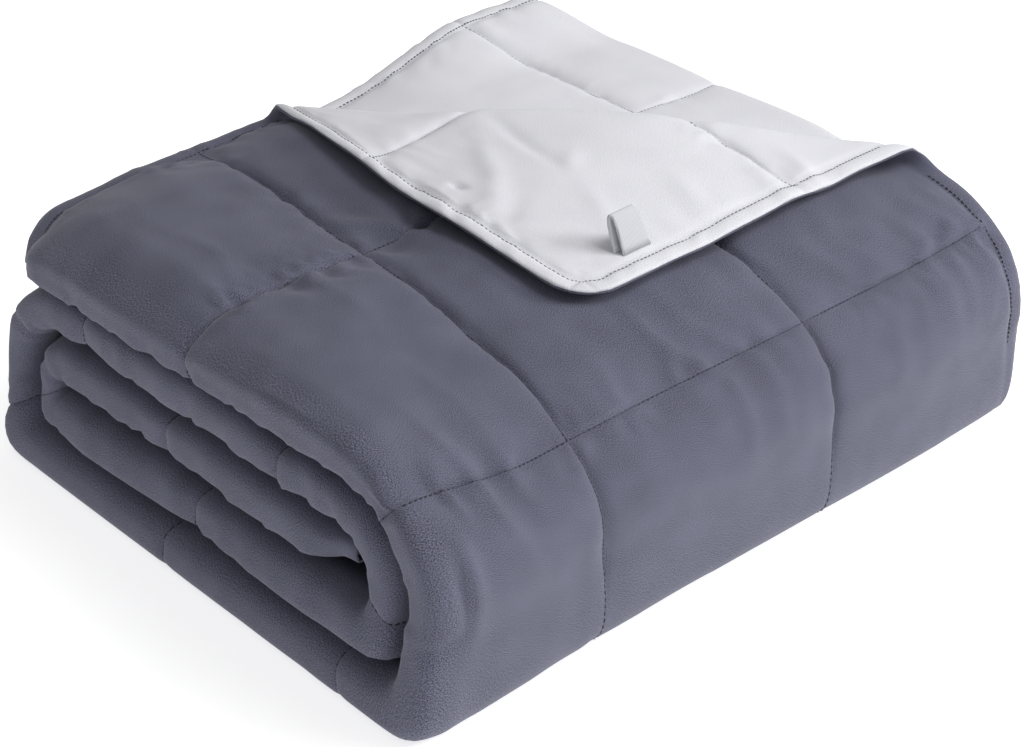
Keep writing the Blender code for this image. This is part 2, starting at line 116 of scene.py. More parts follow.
# The ridge of the turned-back corner: places along it, from the side hem, and how much higher it stands there.
RIDGE_AT = (0.0, 0.04, 0.09, 0.14, 0.17, 0.20, 0.231)
RIDGE = (0.0, 0.001, 0.005, 0.005, -0.001, -0.004, -0.004)
RIDGE_PAST = ((0.0, 0.02), (0.075, 0.03))  # the line where the corner turns: where it sets in and fades again

# The turned-back corner. The first two are where the fold leaves the hems, from the corner.
TURN_ON_END_HEM = 0.231
TURN_ON_SIDE_HEM = 0.280
TURN_BOW = 0.032
TURN_RADIUS = 0.0067
TURN_DRAW = 0.64  # the loose corner lies this much shorter than it is cut, as its quilting draws it up
TURN_SLIDE = 0.315  # how far the loose corner slides along the strip, for each metre past the fold
TURN_REST = 0.0138  # how high the loose corner lies over the top ply, middle to middle
TURN_EASE = 0.060  # the distance in which it comes down from the roll
TURN_SLOPE = math.hypot(1 / TURN_ON_END_HEM, 1 / TURN_ON_SIDE_HEM)  # shares of those two for each metre past

# The loop of tape at the side hem of the turned-back corner.
LOOP_FROM_CORNER = 0.054
LOOP_FROM_HEM = 0.0145
TAPE_WIDTH = 0.0190
TAPE_THICKNESS = 0.0011
LOOP_OPEN = 0.0042  # between the middles of its legs, where they are sewn in
LOOP_HEIGHT = 0.0190
LOOP_LEAN = 0.0055  # how much further from the hem its top is
LOOP_NARROWS = 0.18  # the share of its width that a fold takes in at the top
LOOP_SQUARENESS = 0.62  # the smaller, the steeper its legs and the flatter its top
LOOP_SKEW = 0.0045  # how much nearer the corner its inner leg is sewn on
LOOP_POINTS = (41, 25)  # round its arch and across its tape

# Gathers along the sewn lines: pitch along the line, how far they reach from it, height.
SHORT_GATHERS = (0.0100, 0.0085, 0.0052)
LONG_GATHERS = (0.0190, 0.0400, 0.0022)
GATHERS_CREST = (0.6, 2.0)  # how high their crests stand, and how far it is from there down into a hollow
GATHERS_SWAY = (0.8, 5)  # in pitches: how far they sway, and the length in which they do
GATHERS_FAN = 2.5  # in reaches: how far from its line a gather keeps its place
GATHERS_COME_AND_GO = (0.045, 0.1)  # along a line, and from line to line
GATHERS_STRENGTH = (0.7, 0.5)  # as a mean, and how far it comes and goes
ACROSS_SHARE = 0.30  # the lines along the blanket are gathered less than those across it
HEM_SHARE = 0.35  # of the unevenness that shows on the hem
FOLD_SHARE = 0.6  # of the unevenness that shows on the left folds
HELD_SHARE = 0.3  # of the hollows that show where the quilt is held down
DARK_SEED = 1
PALE_SEED = 101
LUMPS = (0.040, 0.0009)  # the filling's unevenness: pitch and height
SMALL_LUMPS = (0.015, 0.0004)
HEM_WAVER = (0.030, 0.0012)  # how the free hems waver up and down: pitch and height
HEM_WAVER_REACH = 0.03
HEM_PUCKERS = (0.0075, 0.05, 0.0005)  # pitch, length and height
HEM_RECESS = 0.0045  # how far the pale cloth stops short of the dark one at the hem inside the roll
RECESS_OVER = 0.02  # the length of cloth that is drawn in for it

STITCH_PITCH = 0.0027
STITCH_LENGTH = 0.0020
THREAD = 0.0008  # across, about twice what it is, so that it shows at the photograph's size
STITCH_SIDES = 5
HEM_STITCH = 0.0012  # from the inner edge of the hem out to its stitches

# How far the lines of stitches that show are sewn: on the turned-back corner, its side hem and end hem, and on the
# bared second ply.
FLAP_LINES_END = 0.20
FLAP_HEMS_END = (0.28, 0.24)
SECOND_LINES_END = 0.25

# The camera, fitted to the photograph, from the solids' origin. Its angles are in radians, from +X and down.
CAMERA_FROM = np.array([-0.67926, -0.73412, 0.66317]) + ORIGIN
CAMERA_YAW = 0.8171
CAMERA_PITCH = 0.5657
CAMERA_LENS_MM = 78.68
SENSOR_MM = 36.0

# The studio.
FLOOR_HALF = 6.0
ROOM_LIGHT = 0.36
FLOOR_GLOW = 0.72
AIM = (0.0, 0.0, 0.08)  # where the soft boxes point
# name, place, width, watts
SOFT_BOXES = (
    ("key", (1.9, -1.6, 1.15), 0.8, 35.0),
    ("top", (0.5, -0.6, 1.4), 0.7, 9.5),
    ("fill", (-1.9, -0.9, 0.30), 1.2, 2.0),
)

# The folded strip and its passes.
PACKET = 3 * PLY_PITCH + PASS_GAP  # from one pass of the strip to the next
FLATTENED = 0.0031  # what the lowest ply loses where it rests
LOWEST = PLY_PITCH + HALF_CROWN - FLATTENED
SQUARENESS = 8.0  # of the lower half of each bend, 2 being half a circle
RAMP = 0.027  # how far in x the cloth takes to climb from the left fold to the second ply
RAMP_LENGTH = math.hypot(RAMP, PLY_PITCH)
FOLD_CLOSES = 0.030  # the length in which the left fold closes, up to the hem inside the roll
FOLD_TAPERS = 0.006  # how far in from the left folds the strip starts to thin
ROUND_END = 0.98  # of the way out to a fold's end, where the thinning stops
STRAIGHT = BACK_BEND_Y - FRONT_BEND_Y
TALL = 5 * PACKET
STRETCH = 1.068  # how much higher the filled roll stands than its layers add up to
TINY = 1e-9
LATTICE = 64  # points each way, after which the noise repeats

# The roll, from the hem on top to the hem inside. Each bend turns half round, about its own centre.
# straight length before the bend, radius of the bend at the middle ply
PASSES = (
    (TOP_HEM_Y - FRONT_BEND_Y, 2.0 * PACKET),
    (STRAIGHT, 1.5 * PACKET),
    (STRAIGHT, 1.0 * PACKET),
    (STRAIGHT, 0.5 * PACKET),
    (BACK_BEND_Y - INNER_HEM_Y, 0.0),
)

# How the roll settles. A ramp runs from one place to another, None being everywhere, and a row acts in full
# where all of its ramps have reached their second place.
# what happens, ramp in x, another in x, ramp in y, ramp in z, move in x, y and z, change of height
SETTLING = (
    ("far corner stands up", (0.02, 0.14), None, (0.100, 0.150), None, (0, 0, 0), 0.10),
    ("far corner drawn out", (0.02, 0.18), None, (0.090, 0.155), (0.090, 0.120), (-0.010, 0.015, 0), 0),
    ("end hem droops at left", (0.06, -0.04), None, (0.100, 0.155), None, (0, 0, 0), -0.05),
    ("free corner hangs", (-0.09, -0.20), None, (0.080, 0.160), (0.098, 0.130), (0.006, 0, -0.006), 0),
    ("right end lies lower", (0.05, 0.19), None, None, None, (0, 0, 0), -0.07),
    ("top slopes to the front", None, None, (-0.010, -0.170), (0, TALL), (0, 0, 0), -0.05),
    ("most in its middle", (-0.205, -0.115), (0.235, 0.035), (-0.010, -0.170), (0, TALL), (0, 0, 0), -0.13),
    ("lowest folds spread", (-0.150, -0.200), None, None, (0.070, 0), (-0.010, 0, 0), 0),
    ("front bulges at right", (-0.100, 0.180), None, (0, -0.160), None, (0, -0.009, 0), 0),
)

# Where each stretch of the zigzag across the strip starts, as a length of cloth from the side hem.
LEFT_FOLD = SIDE_HEM_X - LEFT_FOLD_X
RAMP_START = LEFT_FOLD + math.pi * PLY_PITCH
SECOND_PLY = RAMP_START + RAMP_LENGTH
RIGHT_FOLD = SECOND_PLY + RIGHT_FOLD_X - (LEFT_FOLD_X + RAMP)
THIRD_PLY = RIGHT_FOLD + math.pi * PLY_PITCH / 2
ACROSS = THIRD_PLY + RIGHT_FOLD_X - THIRD_HEM_X
ALONG = sum(length + math.pi * (radius + PLY_PITCH) * (radius > 0) for length, radius in PASSES)
OUTER_WRAP = 0.87  # the length of cloth that goes once round the outside of the roll
FRONT_ENDS = 0.408  # where the front turns under, along the blanket
BACK_STARTS = 0.715  # where the back comes up from under it
LINES_ACROSS = [SQUARE_ACROSS * k for k in range(1, 8)]
LINES_A = np.array([HEM_WIDTH, *LINES_ACROSS, ACROSS - HEM_WIDTH])
LINES_B = np.array([HEM_WIDTH, *LINES_ALONG, ALONG - HEM_WIDTH])

# How fine the grids are: up to this place, lines at most so far apart.
REST = math.inf
COARSE_ACROSS = ((0.25, 0.0093), (0.38, 0.0150), (0.46, 0.0070), (0.79, 0.0400), (0.82, 0.0060), (REST, 0.0500))
COARSE_ALONG = (
    (0.27, 0.0093),
    (0.47, 0.0125),
    (0.68, 0.0200),
    (0.84, 0.0125),
    (1.05, 0.0200),
    (1.17, 0.0090),
    (1.38, 0.0200),
    (1.46, 0.0045),
    (REST, 0.0120),
)
DARK_ACROSS = ((0.45, 0.00312), (REST, 0.0500))
DARK_ALONG = ((0.47, 0.00314), (0.68, 0.0051), (0.84, 0.0042), (REST, 0.0061))
PALE_ACROSS = ((0.25, 0.00234), (0.44, 0.0200), (0.79, 0.0051), (0.82, 0.0021), (REST, 0.0500))
PALE_ALONG = (
    (0.30, 0.00234),
    (0.47, 0.0063),
    (0.68, 0.0210),
    (0.84, 0.0063),
    (1.05, 0.0210),
    (1.17, 0.0046),
    (REST, 0.0210),
)

# Creases of the left folds and of the turned-back corner: place in a and b, way they run, half length, half
# width, height.
FOLD_MARKS = (
    (0.3870, 0.352, 1.6, 0.0180, 0.0020, -0.0034),
    (0.3810, 0.350, 1.6, 0.0200, 0.0045, 0.0016),
    (0.3960, 0.378, 0.5, 0.0100, 0.0025, -0.0024),
    (0.3720, 0.168, 0.3, 0.0150, 0.0030, 0.0014),
    (0.3700, 0.150, -0.4, 0.0160, 0.0030, 0.0012),
    (0.4060, 0.888, 0.2, 0.0110, 0.0022, -0.0022),
    (0.4050, 0.905, -0.3, 0.0120, 0.0026, -0.0018),
    (0.4070, 0.947, 0.3, 0.0100, 0.0022, -0.0020),
    (0.4060, 1.032, -0.2, 0.0120, 0.0024, -0.0020),
    (0.4050, 1.050, 0.4, 0.0120, 0.0026, -0.0018),
    (0.4050, 1.240, 0.3, 0.0110, 0.0024, -0.0022),
    (0.4060, 1.257, -0.3, 0.0110, 0.0024, -0.0018),
    (0.4000, 1.392, 0.2, 0.0140, 0.0020, -0.0026),
    (0.4000, 1.414, -0.2, 0.0140, 0.0020, -0.0026),
    (0.4010, 1.434, 0.1, 0.0140, 0.0020, -0.0024),
    (0.4000, 1.452, 0.3, 0.0130, 0.0022, -0.0022),
    (0.4050, 1.520, 0.3, 0.0120, 0.0024, -0.0018),
    (0.4020, 0.795, 0.2, 0.0140, 0.0024, -0.0024),
)
FLAP_MARKS = (
    (0.102, 0.026, 0.0, 0.0035, 0.0030, -0.0022),
    (0.112, 0.091, -2.8, 0.022, 0.0040, -0.0012),
    (0.088, 0.092, 1.0, 0.010, 0.0040, 0.0012),
    (0.110, 0.060, 0.9, 0.026, 0.0055, 0.0012),
    (0.092, 0.042, 1.0, 0.022, 0.0050, 0.0012),
    (0.072, 0.030, 1.1, 0.020, 0.0050, -0.0010),
    (0.050, 0.068, 0.5, 0.020, 0.0060, 0.0011),
    (0.030, 0.110, 0.3, 0.018, 0.0060, 0.0010),
    (0.016, 0.150, 0.2, 0.020, 0.0055, 0.0014),
    (0.012, 0.178, 0.2, 0.018, 0.0055, 0.0014),
    (0.008, 0.163, 0.1, 0.014, 0.0014, -0.0014),
)


def smooth(value):
    """0 below 0, 1 above 1, and an even S between."""
    t = np.clip(value, 0.0, 1.0)
    return t * t * (3.0 - 2.0 * t)


def ramp(value, span):
    """0 up to the first end of the span, 1 from its second, whichever is greater, and smooth between."""
    if span is None:
        return 1.0
    first, second = span
    return smooth((value - first) / (second - first))


def within(value, rise, fall):
    """1 between two spans, 0 outside them, and smooth across each."""
    return ramp(value, rise) * ramp(value, fall)


def noise(u, v, seed):
    """Random values from -1 to 1 on a square lattice of pitch 1, with an even S between its points."""
    lattice = np.random.default_rng(seed).uniform(-1.0, 1.0, (LATTICE, LATTICE))
    i = np.floor(u).astype(int)
    j = np.floor(v).astype(int)
    s = smooth(u - i)
    t = smooth(v - j)
    after_i, after_j = (i + 1) % LATTICE, (j + 1) % LATTICE
    i, j = i % LATTICE, j % LATTICE
    near = lattice[i, j] * (1 - s) + lattice[after_i, j] * s
    far = lattice[i, after_j] * (1 - s) + lattice[after_i, after_j] * s
    return near * (1 - t) + far * t


# ---- The folding: the solids' own, with small moves that show in the photograph ----


def past_turn(a, b):
    """How far a place on the top ply lies beyond the bowed line where the corner turns back. The bow is a cubic
    of the share of the way along the line, 0 at both hems and TURN_BOW where it is greatest."""
    share = np.clip(0.5 + 0.5 * (b / TURN_ON_SIDE_HEM - a / TURN_ON_END_HEM), 0.0, 1.0)
    bow = TURN_BOW * 27 / 4 * share * (1 - share) ** 2
    return (1.0 - a / TURN_ON_END_HEM - b / TURN_ON_SIDE_HEM) / TURN_SLOPE + bow


def fold_across(a, b, w):
    """x and height in the folded strip: ply, left fold, ramp, ply, right fold, ply. The plies are straight, the
    folds go half round, the left one a squared circle, and the ramp is an even S."""
    radius = PLY_PITCH * (0.5 + 0.5 * smooth((ALONG - b) / FOLD_CLOSES))
    along = np.clip((a - RAMP_START) / RAMP_LENGTH, 0.0, 1.0)
    depth = 2 * radius - PLY_PITCH
    climb = depth * 6 * along * (1 - along) / RAMP
    lean = np.hypot(1.0, climb)
    left = (a - LEFT_FOLD) / PLY_PITCH
    bend = np.clip(left, 0.0, math.pi)
    full = (np.abs(np.sin(bend)) ** FOLD_SQUARENESS + np.abs(np.cos(bend)) ** FOLD_SQUARENESS) ** (
        -1 / FOLD_SQUARENESS
    )
    right = (a - RIGHT_FOLD) / (PLY_PITCH / 2)
    stretches = (a < LEFT_FOLD, a < RAMP_START, a < SECOND_PLY, a < RIGHT_FOLD, a < THIRD_PLY)
    x = np.select(
        stretches,
        (
            SIDE_HEM_X - a,
            LEFT_FOLD_X - (radius + w) * full * np.sin(left),
            LEFT_FOLD_X + RAMP * along + w * climb / lean,
            RIGHT_FOLD_X - (RIGHT_FOLD - a),
            RIGHT_FOLD_X + (PLY_PITCH / 2 - w) * np.sin(right),
        ),
        RIGHT_FOLD_X - (a - THIRD_PLY),
    )
    height = np.select(
        stretches,
        (
            PLY_PITCH + w,
            PLY_PITCH - radius + (radius + w) * full * np.cos(left),
            depth * (smooth(along) - 1.0) - w / lean,
            -w,
            -PLY_PITCH / 2 + (PLY_PITCH / 2 - w) * np.cos(right),
        ),
        -PLY_PITCH + w,
    )
    return x, height * taper(x)


def taper(x):
    """How much thinner the strip is beside its left fold, whose end is half an ellipse in place of half a circle."""
    round_end = PLY_PITCH + HALF_CROWN
    circle = np.clip((LEFT_FOLD_X - x) / round_end, 0.0, ROUND_END)
    ellipse = np.clip((LEFT_FOLD_X + FOLD_TAPERS - x) / (FOLD_TAPERS + round_end), 0.0, ROUND_END)
    return np.sqrt((1 - ellipse**2) / (1 - circle**2))


def round_fold_corner(x, b):
    """Draws the corner between the end hem and the left fold in to a radius, a square grid becoming round."""
    u = LEFT_FOLD_X - PLY_PITCH - HALF_CROWN + FOLD_CORNER - x
    v = FOLD_CORNER - b
    inside = (u > 0) & (v > 0)
    pull = np.where(inside, np.maximum(u, v) / np.maximum(np.hypot(u, v), TINY), 1.0)
    return np.where(inside, x + u * (1 - pull), x), np.where(inside, FOLD_CORNER - v * pull, b)


def turn_back_corner(a, b, w, x, height):
    """Carries what lies past the turn half round a loose roll, then straight back over the top ply and down on it
    in an even S."""
    past = past_turn(a, b)
    turned = (past > 0) & (a < LEFT_FOLD)
    angle = np.clip(past / TURN_RADIUS, 0.0, math.pi)
    laid = np.maximum(past - math.pi * TURN_RADIUS, 0.0)
    reach = (TURN_RADIUS - w) * np.sin(angle) - laid * TURN_DRAW
    drop = (2 * TURN_RADIUS - TURN_REST) * smooth(laid / TURN_EASE)
    rise = TURN_RADIUS - (TURN_RADIUS - w) * np.cos(angle) - drop
    new_a = a - (reach - past) / TURN_ON_END_HEM / TURN_SLOPE
    new_b = b - (reach - past) / TURN_ON_SIDE_HEM / TURN_SLOPE + TURN_SLIDE * laid
    return (
        np.where(turned, SIDE_HEM_X - new_a, x),
        np.where(turned, new_b, b),
        np.where(turned, PLY_PITCH + rise, height),
    )


def wind(b, height):
    """y and z of a place on the strip: straight runs joined by half-round bends, dark side out.
    The lower half of a bend is a squared circle, as it is pressed on the surface."""
    y = np.zeros_like(b)
    z = np.zeros_like(b)
    start = 0.0
    heading = -1.0
    level = LOWEST + 4 * PACKET
    begin = TOP_HEM_Y
    for length, radius in PASSES:
        outer = radius + PLY_PITCH
        run = (b >= start) | (start == 0.0)
        up = 1.0 if heading < 0 else -1.0
        y = np.where(run, begin + heading * (b - start), y)
        z = np.where(run, level + up * height, z)
        start += length
        centre_y = begin + heading * length
        centre_z = level - up * radius
        angle = (b - start) / outer
        out = np.sin(angle)
        rise = up * np.cos(angle)
        lower = (np.abs(out) ** SQUARENESS + np.abs(rise) ** SQUARENESS) ** (-1 / SQUARENESS)
        reach = (radius + height) * np.where(rise < 0, lower, 1.0)
        bend = (b >= start) & (radius > 0)
        y = np.where(bend, centre_y + heading * reach * out, y)
        z = np.where(bend, centre_z + reach * rise, z)
        start += math.pi * outer
        begin = centre_y
        level -= up * 2 * radius
        heading = -heading
    return y, z


def settle(x, y, z):
    """Lets the roll sag and spread: each row of SETTLING adds its move and its share of the height, times its
    ramps. What comes out under the surface is pressed flat on it."""
    moved = np.stack((x, y, z * STRETCH))
    for _, along_x, again_x, along_y, along_z, move, share in SETTLING:
        full = ramp(x, along_x) * ramp(x, again_x) * ramp(y, along_y) * ramp(z, along_z)
        moved += full * np.array(move)[:, None]
        moved[2] += full * share * z
    moved[2] = np.maximum(moved[2], 0.0)
    return moved


def round_corners(a, b):
    """Draws the four corners of the flat cloth in to a radius, a square grid becoming a round one."""
    u = CORNER_RADIUS - np.minimum(a, ACROSS - a)
    v = CORNER_RADIUS - np.minimum(b, ALONG - b)
    inside = (u > 0) & (v > 0)
    pull = np.where(inside, np.maximum(u, v) / np.maximum(np.hypot(u, v), TINY), 1.0)
    near_a = CORNER_RADIUS - u * pull
    near_b = CORNER_RADIUS - v * pull
    new_a = np.where(inside, np.where(a < ACROSS / 2, near_a, ACROSS - near_a), a)
    new_b = np.where(inside, np.where(b < ALONG / 2, near_b, ALONG - near_b), b)
    return new_a, new_b


def stray(a, b):
    """Moves places as the sewn lines stray: a table of moves for the line on top, and for the others a lean or a
    shift, each times 1 at its line and 0 away from it."""
    turned = ramp(past_turn(a, b), FLAP_STARTS) * (a < LEFT_FOLD)
    on_top = np.interp(b, STRAY_AT, STRAY) * within(a, *STRAY_ACROSS) * (b < INSIDE_ROLL)
    flap_a = turned * FLAP_STRAY[0] * b * within(a, *FLAP_ACROSS)
    flap_b = turned * (FLAP_STRAY[1] * a + FLAP_SHIFT) * within(b, *FLAP_ALONG)
    on_second = within(a, (SECOND_PLY, SECOND_PLY + SECOND_FADES), (THIRD_PLY + SECOND_FADES, THIRD_PLY))
    second_b = SECOND_STRAY * on_second * within(b, *SECOND_ALONG)
    return a + on_top + flap_a, b + flap_b + second_b


def place(a, b, w):
    """Carries points of the flat cloth to their places in the folded blanket, from the solids' origin."""
    a, b = stray(*round_corners(a, b))
    x, height = fold_across(a, b, w)
    bared = ramp(past_turn(SIDE_HEM_X - x, b), SECOND_RISES_PAST) * ramp(x, SECOND_RISES_IN_X)
    height = height + SECOND_RISES * bared * (a > SECOND_PLY)
    x, b, height = turn_back_corner(a, b, w, x, height)
    x, b = round_fold_corner(x, b)
    y, z = wind(b, height)
    z = z - FOLD_HANGS * ramp(x, HANGS_IN_X) * ramp(b, HANGS_ALONG)
    return settle(x, y, z).T + ORIGIN


# ---- The quilt's relief ----


def arch(at, lines):
    """0 at each sewn line, 1 in the middle between two of them: a lip that rises at once, and a flattened parabola
    over the whole square."""
    k = np.clip(np.searchsorted(lines, at, side="right"), 1, len(lines) - 1)
    low = lines[k - 1]
    width = lines[k] - low
    share = np.clip((at - low) / width, 0.0, 1.0)
    lip = 1 - np.exp(-np.minimum(share, 1 - share) * width / LIP_REACH)
    return LIP * lip + (1 - LIP) * (4 * share * (1 - share)) ** DOME_POWER


def from_line(at, lines):
    """The distance to the nearest sewn line."""
    k = np.clip(np.searchsorted(lines, at, side="right"), 1, len(lines) - 1)
    return np.minimum(np.abs(at - lines[k - 1]), np.abs(lines[k] - at))


def lies_free(a, b, dark):
    """1 where nothing lies on this face of the quilt, 0 where it is held down, and smooth between."""
    past = past_turn(a, b)
    if dark:
        shown = ramp(b, (FRONT_ENDS, FRONT_ENDS - 2 * FREE_OVER)) * ramp(past, (0.0, -FREE_AFTER))
        return shown * ramp(a, (LEFT_FOLD + math.pi * PLY_PITCH / 2, LEFT_FOLD + math.pi * PLY_PITCH / 8))
    x, _ = fold_across(a, b, np.zeros_like(a))
    bared_after = FREE_AFTER + 2 * TURN_RADIUS
    bared = ramp(past_turn(SIDE_HEM_X - x, b), (bared_after, bared_after + FREE_OVER))
    on_second = (a > SECOND_PLY) * ramp(a, (RIGHT_FOLD, RIGHT_FOLD - FREE_AFTER))
    turned = ramp(past, (FREE_AFTER, FREE_AFTER + FREE_OVER)) * (a < LEFT_FOLD)
    return bared * on_second + turned


def gathers(along, at, away, seed):
    """Ripples across a sewn line, short ones close to it and long ones further out: a crest less the size of a
    swaying noise, times a slow noise, dying away with the distance from the line."""
    total = np.zeros_like(along)
    crest, fall = GATHERS_CREST
    swayed, length = GATHERS_SWAY
    mean, varies = GATHERS_STRENGTH
    patch_along, patch_at = GATHERS_COME_AND_GO
    for k, (pitch, reach, height) in enumerate((SHORT_GATHERS, LONG_GATHERS)):
        sway = swayed * noise(along / (length * pitch), at / reach, seed + 2 * k + 1)
        ripple = crest - fall * np.abs(noise(along / pitch + sway, at / (GATHERS_FAN * reach), seed + 2 * k))
        share = mean + varies * noise(along / patch_along, at / patch_at, seed + 5 + k)
        total += height * share * ripple * np.exp(-away / reach)
    return total


def relief(a, b, seed):
    """The small unevenness of a face: gathers at the sewn lines, and two noises for the lumps of the filling."""
    away_a = from_line(a, LINES_A)
    away_b = from_line(b, LINES_B)
    total = ACROSS_SHARE * gathers(b, a, away_a, seed) + gathers(a, b, away_b, seed + 20)
    for k, (pitch, height) in enumerate((LUMPS, SMALL_LUMPS)):
        total += height * noise(a / pitch, b / pitch, seed + 40 + k)
    return total


def scallops(a, b):
    """The waves along the underside of each left fold: a crest less the size of a swaying noise, times a bell."""
    pitch, reach, height = FOLD_SCALLOPS
    crest, fall = SCALLOPS_CREST
    swayed, length = SCALLOPS_SWAY
    sway_fan, wave_fan = SCALLOPS_FAN
    sway = swayed * noise(b / (length * pitch), a / sway_fan, 61)
    wave = crest - fall * np.abs(noise(b / pitch + sway, a / wave_fan, 62))
    at = LEFT_FOLD + SCALLOPS_AT * math.pi * PLY_PITCH
    return height * wave * np.exp(-(((a - at) / reach) ** 2))


def marks(a, b, table):
    """Single creases, each a long soft ridge or hollow: a bell across its way, and a longer one along it."""
    total = np.zeros_like(a)
    for at_a, at_b, way, length, width, height in table:
        along = (a - at_a) * math.cos(way) + (b - at_b) * math.sin(way)
        aside = (b - at_b) * math.cos(way) - (a - at_a) * math.sin(way)
        total += height * np.exp(-((along / length) ** 2) - (aside / width) ** 2)
    return total


def thickness(a, b, dark):
    """From the middle of the quilt to one face. A square's crown is its arch across times its arch along, and it
    stands higher where it lies free. The hem is half a sine. Unevenness, creases and the thread's furrow, a bell,
    are added."""
    rises, gathered = DARK_FREE if dark else PALE_FREE
    crown = arch(a, LINES_A) * arch(b, LINES_B)
    edge = np.minimum(np.minimum(a, ACROSS - a), np.minimum(b, ALONG - b))
    hem = edge < HEM_WIDTH - TINY
    on_edge = within(a, (LEFT_FOLD, LEFT_FOLD + PLY_PITCH), (RAMP_START, RAMP_START - PLY_PITCH))
    nose = on_edge * ramp(b, (4 * HEM_WIDTH, HEM_WIDTH))
    pressed = within(b, (FRONT_ENDS - FREE_OVER, FRONT_ENDS), (BACK_STARTS + FREE_AFTER, BACK_STARTS))
    lowest = HALF_SEAM + (HALF_CROWN - HALF_SEAM) * FILLED_OUT * np.maximum(nose, pressed)
    thick = lowest + (HALF_CROWN - lowest) * crown
    flat = HEM_EDGE + (FOLD_HEM_EDGE - HEM_EDGE) * nose
    swell = flat + (1 - flat) * np.sin(math.pi * np.clip(edge / HEM_WIDTH, 0.0, 1.0))
    thick = np.where(hem, np.maximum(HALF_HEM, lowest) * swell, thick)
    free = lies_free(a, b, dark)
    uneven = relief(a, b, DARK_SEED if dark else PALE_SEED) * np.where(hem, HEM_SHARE, 1.0) * gathered
    pitch, length, height = HEM_PUCKERS
    uneven += height * noise((a - b) / pitch, (a + b) / length, 8) * hem
    loose = np.maximum(free, FOLD_SHARE * on_edge * (1 - pressed))
    fine = uneven * loose + np.minimum(uneven, 0.0) * (1 - loose) * HELD_SHARE
    if dark:
        extra = (1 - pressed) * (scallops(a, b) + marks(a, b, FOLD_MARKS))
    else:
        extra = marks(a, b, FLAP_MARKS) * (past_turn(a, b) > 0) * (a < LEFT_FOLD)
    half, deep = GROOVE
    furrow = np.minimum(from_line(a, LINES_A), from_line(b, LINES_B)) / half
    extra = extra - deep * np.exp(-(furrow**2)) * np.maximum(free, on_edge)
    return np.maximum(thick + rises * crown * free + fine + extra, THINNEST)


def middle(a, b):
    """How far the middle of the quilt lies off: a noise at a free hem, and a table of heights for the ridge."""
    edge = np.minimum(a, b)
    past = past_turn(a, b)
    free = ramp(past, (0.0, FREE_AFTER)) * (a < LEFT_FOLD)
    pitch, height = HEM_WAVER
    waver = height * (1 + noise(a / pitch, b / pitch, 7)) * free * ramp(edge, (HEM_WAVER_REACH, 0.0))
    ridge = np.interp(a, RIDGE_AT, RIDGE) * within(past, *RIDGE_PAST) * (a < LEFT_FOLD)
    return -waver - ridge


def stopped(b, dark):
    """Places along the blanket, with the pale cloth stopping a little short at the hem inside the roll."""
    return b if dark else b - HEM_RECESS * ramp(b, (ALONG - RECESS_OVER, ALONG))


def face_points(a, b, dark):
    """Points on one outer face of the folded quilt."""
    side = 1.0 if dark else -1.0
    return place(a, stopped(b, dark), middle(a, b) + side * thickness(a, b, dark))


# ---- Meshes ----


def divided(lines, spans):
    """The lines and evenly spaced ones between them, at most as far apart as the span they lie in says."""
    parts = []
    for low, high in zip(lines, lines[1:]):
        spacing = next(size for end, size in spans if (low + high) / 2 < end)
        parts.append(np.linspace(low, high, math.ceil((high - low) / spacing - TINY), endpoint=False))
    return np.concatenate(parts + [lines[-1:]])


def fold_lines():
    """The lines of a and of b that a panel's grid keeps: hems, quilting lines, folds and bends."""
    hem_a = [0.0, HEM_WIDTH / 2, HEM_WIDTH, ACROSS - HEM_WIDTH, ACROSS]
    near = (-NEAR_LINE, 0.0, NEAR_LINE)
    squares_a = [line + step for line in LINES_A[1:-1] for step in near]
    folds = [LEFT_FOLD, RAMP_START, SECOND_PLY, RIGHT_FOLD, THIRD_PLY]
    hem_b = [0.0, HEM_WIDTH / 2, HEM_WIDTH, ALONG - HEM_WIDTH, ALONG]
    squares_b = [line + step for line in LINES_ALONG for step in near]
    return np.array(sorted(hem_a + squares_a + folds)), np.array(sorted(hem_b + squares_b))


def add_object(name, points, faces, cloth, surface):
    """A mesh object at the origin, smooth, with its place on the flat cloth kept for its material."""
    mesh = bpy.data.meshes.new(name)
    mesh.from_pydata(points.tolist(), [], faces)
    mesh.shade_smooth()
    kept = mesh.attributes.new("cloth", "FLOAT_VECTOR", "POINT")
    kept.data.foreach_set("vector", cloth.astype(np.float32).ravel())
    mesh.materials.append(surface)
    made = bpy.data.objects.new(name, mesh)
    bpy.context.scene.collection.objects.link(made)
    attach(made, "root")
    return made


def ring_of(count_a, count_b, at_a, at_b):
    """Round a grid's edge: the indices of the fine points from each kept line to the next."""
    index = np.arange(count_a * count_b).reshape(count_a, count_b)
    sides = (
        (index[:, 0], at_a),
        (index[-1, :], at_b),
        (index[::-1, -1], count_a - 1 - at_a[::-1]),
        (index[0, ::-1], count_b - 1 - at_b[::-1]),
    )
    return [line[low : high + 1].tolist() for line, at in sides for low, high in zip(at, at[1:])]


